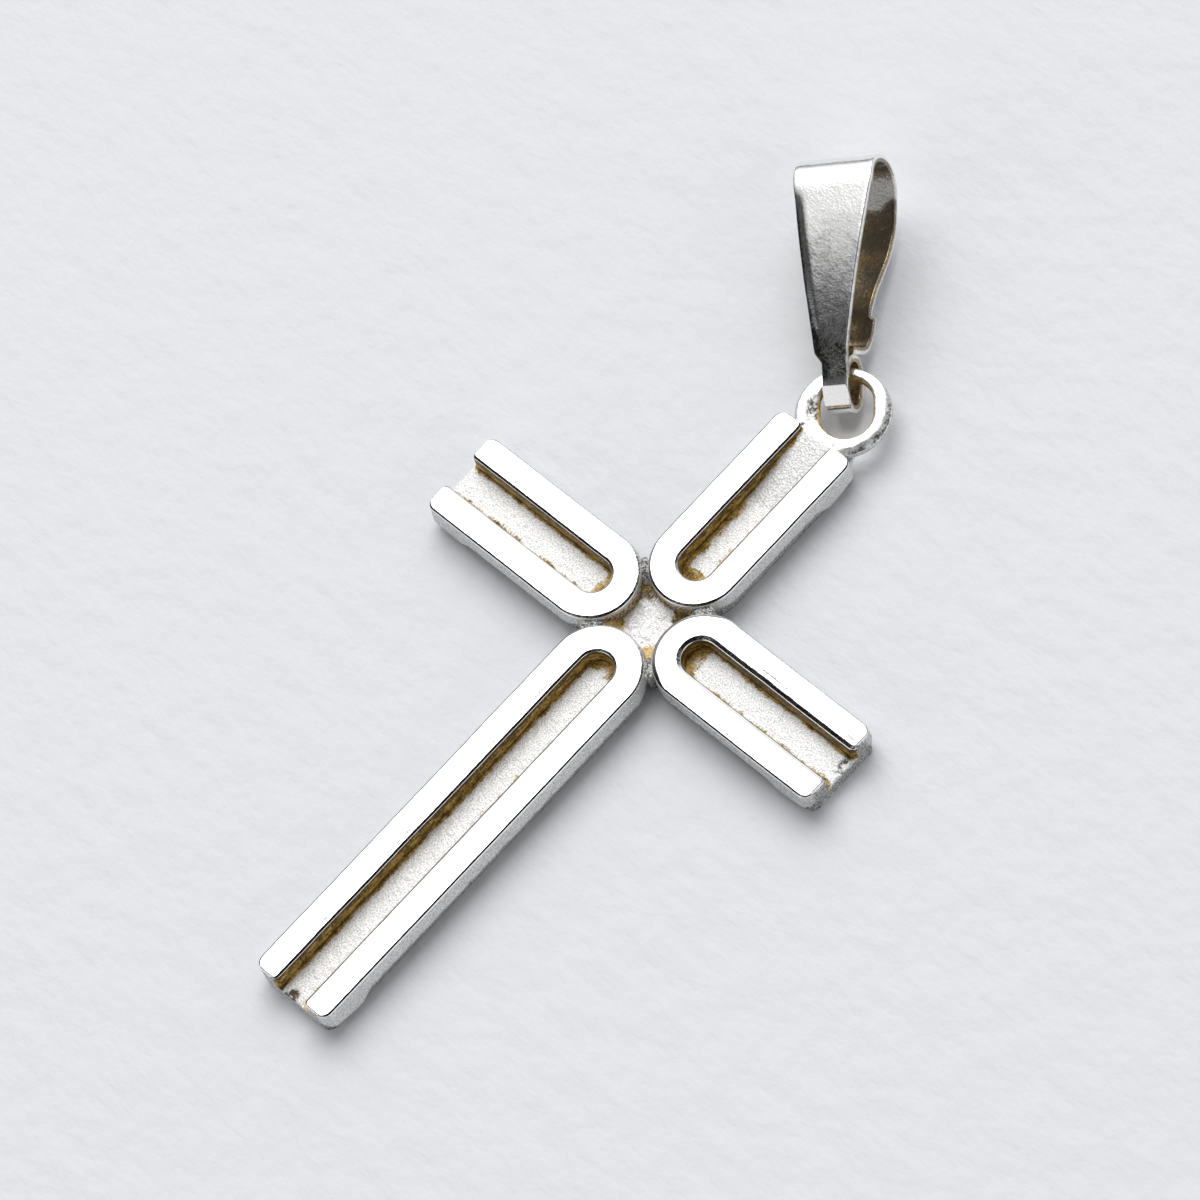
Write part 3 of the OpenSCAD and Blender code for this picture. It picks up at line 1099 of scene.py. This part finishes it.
def effect_group(name: str, inputs: dict[str, str], outputs: dict[str, str]) -> tuple[Any, Wiring, Any, Any]:
    """Starts a shader node group.

    Args:
        name: The group's name.
        inputs: The type of each input, by name.
        outputs: The type of each output, by name.

    Returns:
        The group, its wiring, and its input and output nodes.
    """
    tree = bpy.data.node_groups.new(name, "ShaderNodeTree")
    for label, kind in inputs.items():
        tree.interface.new_socket(name=label, in_out="INPUT", socket_type=kind)
    for label, kind in outputs.items():
        tree.interface.new_socket(name=label, in_out="OUTPUT", socket_type=kind)
    wiring = Wiring(tree)
    return tree, wiring, wiring.add("NodeGroupInput"), wiring.add("NodeGroupOutput")


FLOAT, COLOR, VECTOR = "NodeSocketFloat", "NodeSocketColor", "NodeSocketVector"


class TarnishEffect:
    """The brown stain that settles in corners, ragged at its edges."""

    # Sizes in millimetres of the fine and broad rag at its edges, and of the specks in it
    FINE, BROAD, SPECK = 0.07, 0.3, 0.1
    # Tone and colour of the thinnest, the thickest and a middling stain
    STOPS = ((0.05, (0.80, 0.60, 0.35, 1)), (0.9, (0.10, 0.062, 0.014, 1)), (0.45, (0.52, 0.33, 0.06, 1)))

    def __init__(self) -> None:
        """Builds the group once, for every material."""
        self.tree, w, start, end = effect_group(
            "corner_tarnish",
            {"Vector": VECTOR, "Mask": FLOAT, "Tone": FLOAT, "Amount": FLOAT},
            {"Cover": FLOAT, "Colour": COLOR},
        )
        where = start.outputs["Vector"]
        rag = w.math("ADD", w.math("MULTIPLY", w.grain(where, self.FINE), 0.9),
                     w.math("MULTIPLY", w.grain(where, self.BROAD), 0.4))
        edge = w.math("ADD", start.outputs["Mask"], w.math("MULTIPLY", w.math("SUBTRACT", rag, 0.65), 2.0))
        cover = w.math("MULTIPLY", w.between(edge, 0.2, 0.9), start.outputs["Amount"])
        speck = w.math("MULTIPLY", w.math("SUBTRACT", w.grain(where, self.SPECK, 3.0), 0.5), 1.5)
        ramp = w.add("ShaderNodeValToRGB", {0: w.math("ADD", start.outputs["Tone"], speck)})
        elements = ramp.color_ramp.elements
        for number, (level, colour) in enumerate(self.STOPS):
            stop = elements[number] if number < 2 else elements.new(level)
            stop.position, stop.color = level, colour
        w.feed(end, {"Cover": cover, "Colour": ramp.outputs[0]})


class SandAndShadeEffect:
    """The sandy skin of cast silver, as height and as speckle, and the dull paint with its painted shade,
    made ragged.
    """

    # Sizes in millimetres of its grains, of the hollows between them and of the rag in its shade
    GRAIN, HOLLOW, RAG = 0.06, 0.12, 0.08

    def __init__(self) -> None:
        """Builds the group once, for every material."""
        self.tree, w, start, end = effect_group(
            "cast_sand_and_painted_shade", {"Vector": VECTOR, "Mask": FLOAT, "Dull_and_painted_shade": FLOAT},
            {"Height": FLOAT, "Speckle": FLOAT, "Shade": FLOAT},
        )
        where = start.outputs["Vector"]
        mask = start.outputs["Mask"]
        cells = w.add("ShaderNodeTexVoronoi", {"Vector": where, "Scale": 1 / (self.HOLLOW * MM)})
        hollows = w.math("MULTIPLY", cells.outputs["Distance"], 0.5)
        both = w.math("ADD", w.math("MULTIPLY", w.grain(where, self.GRAIN), 0.6), hollows)
        speck = w.between(w.grain(where, self.GRAIN, 1.0), 0.4, 0.66)
        ragged = w.between(w.grain(where, self.RAG), 0.35, 0.65, 0.5, 1.5)
        w.feed(end, {
            "Height": w.math("MULTIPLY", both, mask),
            "Speckle": w.math("MULTIPLY", speck, mask),
            "Shade": w.math("MULTIPLY", start.outputs["Dull_and_painted_shade"], ragged, clamp=True),
        })


class ScratchEffect:
    """Fine polishing lines and small scratches."""

    # Sizes in millimetres of its lines and of the haze between them
    LINE, HAZE = 1.2, 1.1
    # How far each set of lines is turned, and how fine it is across
    LAYS = ((0.5, 14.0), (-0.9, 10.0))

    def __init__(self) -> None:
        """Builds the group once, for every material."""
        self.tree, w, start, end = effect_group(
            "polish_lines", {"Vector": VECTOR}, {"Height": FLOAT, "Haze": FLOAT},
        )
        where, heights = start.outputs["Vector"], []
        for turn, stretch in self.LAYS:
            lay = w.add("ShaderNodeMapping", {
                "Vector": where, "Rotation": (0.2, 0.1, turn), "Scale": (1.0, stretch, 1.0),
            })
            heights.append(w.grain(lay.outputs[0], self.LINE, 4.0))
        w.feed(end, {"Height": w.math("ADD", *heights), "Haze": w.grain(where, self.HAZE, 3.0)})


@dataclass(frozen=True)
class SilverFinish:
    """Worn silver: polished where it is handled, sandy where it was cast, brown in its corners.

    Depths are in millimetres.
    """

    name: str
    bright: tuple = (0.95, 0.945, 0.93, 1.0)
    frosted: tuple = (0.94, 0.94, 0.935, 1.0)
    grey: tuple = (0.30, 0.295, 0.29, 1.0)
    dark: tuple = (0.10, 0.098, 0.09, 1.0)
    polish_rough: float = 0.16
    sand_rough: float = 0.55
    sand_metal: float = 0.55
    stain_metal: float = 0.3
    stain_rough: float = 0.12
    haze: float = 0.12
    speckle: float = 0.5
    tarnish: float = 1.0
    specular: float = 0.2
    sand_depth: float = 0.03
    line_depth: float = 0.0016

    def material(self, effects: dict[str, Any]) -> bpy.types.Material:
        """Makes the finish's material.

        Args:
            effects: The shared node groups by name.

        Returns:
            The material.
        """
        mat = bpy.data.materials.new(self.name)
        w = blank_wiring(mat)
        where = w.add("ShaderNodeTexCoord").outputs["Object"]
        painted = {n: w.add("ShaderNodeAttribute", attribute_name=n).outputs["Fac"] for n in PAINTS}
        stain, sand, lines = (
            w.add("ShaderNodeGroup", node_tree=effects[n].tree) for n in ("tarnish", "sand", "lines"))
        w.feed(stain, {"Vector": where, "Mask": painted["tarnish"], "Tone": painted["tone"],
                       "Amount": self.tarnish})
        w.feed(sand, {"Vector": where, "Mask": painted["sand"], "Dull_and_painted_shade": painted["dull"]})
        w.feed(lines, {"Vector": where})
        base = w.blend(painted["sand"], self.bright, self.frosted)
        base = w.blend(w.math("MULTIPLY", sand.outputs["Speckle"], self.speckle), base, self.grey)
        # Darkens towards dark where the dull paint lies: crust and wear, and painted shade and dark
        # reflections
        base = w.blend(sand.outputs["Shade"], base, self.dark)
        colour = w.blend(stain.outputs["Cover"], base, stain.outputs["Colour"])
        rough = w.between(painted["sand"], 0.0, 1.0, self.polish_rough, self.sand_rough)
        haze = w.math("SUBTRACT", lines.outputs["Haze"], 0.5)
        rough = w.math("ADD", rough, w.math("MULTIPLY", haze, self.haze))
        rough = w.math("ADD", rough, w.math("MULTIPLY", stain.outputs["Cover"], self.stain_rough))
        grainy = w.bump(sand.outputs["Height"], self.sand_depth)
        normal = w.bump(lines.outputs["Height"], self.line_depth, {"Normal": grainy})
        metal = w.between(painted["sand"], 0.0, 1.0, 1.0, self.sand_metal)
        metal = w.math("MULTIPLY", metal, w.between(stain.outputs["Cover"], 0.0, 1.0, 1.0, self.stain_metal))
        shader = w.add("ShaderNodeBsdfPrincipled", {
            "Base Color": colour, "Metallic": metal, "Roughness": rough, "Normal": normal,
            "Specular IOR Level": self.specular,
        })
        w.add("ShaderNodeOutputMaterial", {"Surface": shader.outputs[0]})
        return mat


@dataclass(frozen=True)
class PaperFinish:
    """Pale felt-finished paper. Sizes are in millimetres."""

    colour: tuple = (0.835, 0.848, 0.872, 1.0)
    shade: float = 0.985
    rough: float = 0.95
    specular: float = 0.15
    depth: float = 0.12
    felt_size: float = 2.2
    felt_turn: float = 0.75
    felt_stretch: float = 1.7
    fibre_size: float = 0.7
    fibre_share: float = 0.35
    cloud_size: float = 4.0

    def material(self) -> bpy.types.Material:
        """Makes the paper's material.

        Returns:
            The material.
        """
        mat = bpy.data.materials.new("felt_paper")
        w = blank_wiring(mat)
        where = w.add("ShaderNodeTexCoord").outputs["Object"]
        lay = w.add("ShaderNodeMapping", {
            "Vector": where, "Rotation": (0, 0, self.felt_turn), "Scale": (1.0, self.felt_stretch, 1.0),
        })
        fibre = w.math("MULTIPLY", w.grain(where, self.fibre_size, 3.0), self.fibre_share)
        felt = w.math("ADD", w.grain(lay.outputs[0], self.felt_size, 4.0), fibre)
        darker = (*(c * self.shade for c in self.colour[:3]), 1.0)
        shader = w.add("ShaderNodeBsdfPrincipled", {
            "Base Color": w.blend(w.grain(where, self.cloud_size, 3.0), self.colour, darker),
            "Roughness": self.rough, "Normal": w.bump(felt, self.depth), "Specular IOR Level": self.specular,
        })
        w.add("ShaderNodeOutputMaterial", {"Surface": shader.outputs[0]})
        return mat


# ---- the studio ----


@dataclass(frozen=True)
class Glow:
    """A soft bright or dark part of the sky that the silver mirrors. Its edges are in degrees."""

    towards: tuple
    inner: float
    outer: float
    strength: float


@dataclass
class Studio:
    """The paper, the soft light and the camera, which stands at place in millimetres."""

    place: tuple = (132.19575, -63.41901, 275.33820)
    right: tuple = (0.71224, 0.67464, -0.19387)
    up: tuple = (-0.55439, 0.71005, 0.43416)
    back: tuple = (0.43055, -0.20174, 0.87973)
    lens: float = 248.26
    sensor: float = 36.0
    paper_half: float = 1.2
    paper_level: float = -0.000004
    key_towards: tuple = (-0.45, 0.36, 0.80)
    key_away: float = 1.2
    key_width: float = 1.1
    key_power: float = 8.2
    sky: float = 0.14
    sky_least: float = 0.03
    sky_tint: tuple = (0.985, 0.99, 1.0, 1.0)
    glows: tuple = (
        Glow((-0.52, 0.34, 0.78), 26.0, 50.0, 0.9),
        Glow((0.90, 0.15, 0.32), 18.0, 40.0, 0.75),
        Glow((-0.05, -0.85, 0.52), 14.0, 27.0, 0.7),
        Glow((0.10, 0.90, 0.30), 20.0, 50.0, 0.3),
        Glow((-0.43, -0.88, 0.20), 14.0, 26.0, 0.8),
        Glow((0.36, 0.02, 0.93), 12.0, 26.0, -0.5),
        Glow((-0.58, -0.52, 0.63), 20.0, 34.0, -0.2),
    )

    def camera(self) -> None:
        """Sets the camera where the photograph's stood."""
        data = bpy.data.cameras.new("camera")
        data.lens, data.sensor_width, data.sensor_fit = self.lens, self.sensor, "HORIZONTAL"
        data.clip_start, data.clip_end = 0.01, 10.0
        cam = placed("camera", data)
        axes = Matrix([self.right, self.up, self.back]).transposed()
        cam.matrix_world = Matrix.Translation(Vector(self.place) * MM) @ axes.to_4x4()
        bpy.context.scene.camera = cam

    def paper(self) -> None:
        """Lays the paper under the cross."""
        mesh = bpy.data.meshes.new("paper")
        corners = [(x * self.paper_half, y * self.paper_half, self.paper_level)
                   for x, y in ((-1, -1), (1, -1), (1, 1), (-1, 1))]
        mesh.from_pydata(corners, [], [(0, 1, 2, 3)])
        mesh.materials.append(PaperFinish().material())
        obj = placed("paper", mesh)

    def lights(self) -> None:
        """Hangs the soft key light and shades the sky."""
        data = bpy.data.lights.new("key", "AREA")
        data.shape, data.size, data.energy = "DISK", self.key_width, self.key_power
        key = placed("key", data)
        key.location = spot = Vector(self.key_towards) * self.key_away
        key.rotation_mode = "QUATERNION"
        key.rotation_quaternion = spot.to_track_quat("Z", "Y")
        bpy.context.scene.world = world = bpy.data.worlds.new("sky")
        w = blank_wiring(world)
        look = w.add("ShaderNodeTexCoord").outputs["Generated"]
        total = self.sky
        for glow in self.glows:
            aim = tuple(Vector(glow.towards).normalized())
            dot = w.add("ShaderNodeVectorMath", {0: look, 1: aim}, operation="DOT_PRODUCT").outputs["Value"]
            lobe = w.between(dot, *(cos(radians(a)) for a in (glow.outer, glow.inner)))
            total = w.math("ADD", w.math("MULTIPLY", lobe, glow.strength), total)
        total = w.math("MAXIMUM", total, self.sky_least)
        sky = w.add("ShaderNodeBackground", {"Color": self.sky_tint, "Strength": total})
        w.add("ShaderNodeOutputWorld", {"Surface": sky.outputs[0]})

    def build(self) -> None:
        """Builds the whole studio."""
        self.camera()
        self.paper()
        self.lights()
        bpy.context.scene.view_settings.view_transform = "Standard"


def main() -> None:
    """Builds the pendant's pieces in order, dresses them and sets up the studio."""
    logging.basicConfig(level=logging.INFO, format="%(name)s: %(message)s")
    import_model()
    effects = {"tarnish": TarnishEffect(), "sand": SandAndShadeEffect(), "lines": ScratchEffect()}
    cast = SilverFinish("cast_silver").material(effects)
    strip = SilverFinish("strip_silver", grey=(0.35, 0.35, 0.35, 1.0), polish_rough=0.13, tarnish=0.82,
                         stain_metal=0.9, line_depth=0.001).material(effects)
    arms = (
        Arm("arm_top", 0, 9.6, 11, bend_stain=0.8, foot_stain=0.22, belly=0.08, wall_shade=0.74),
        Arm("arm_left", 90, 10.0, 23, side_dull=0.18, belly=0.1, wall_shade=0.72),
        Arm("arm_bottom", 180, 19.65, 37, crust=1.6, wall_shade=0.7),
        Arm("arm_right", 270, 10.0, 53, crest=0.13, crust=1.2, wear=1.0, wall_shade=0.88, side_dull=0.28,
            belly=0.06),
    )
    pieces = [(maker.build(), "cross", "cross", "cast_silver", cast) for maker in (*arms, Crossing(), Eye())]
    pieces.append((Bail().build(), "bail", "bail", "strip_silver", strip))
    for piece, node, body, slot, finish in pieces:
        piece.data.materials.append(finish)
        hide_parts(node)
        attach(piece, body)
        LOG.info("%s: %d faces", piece.name, len(piece.data.polygons))
    Studio().build()


if __name__ == "__main__":
    main()
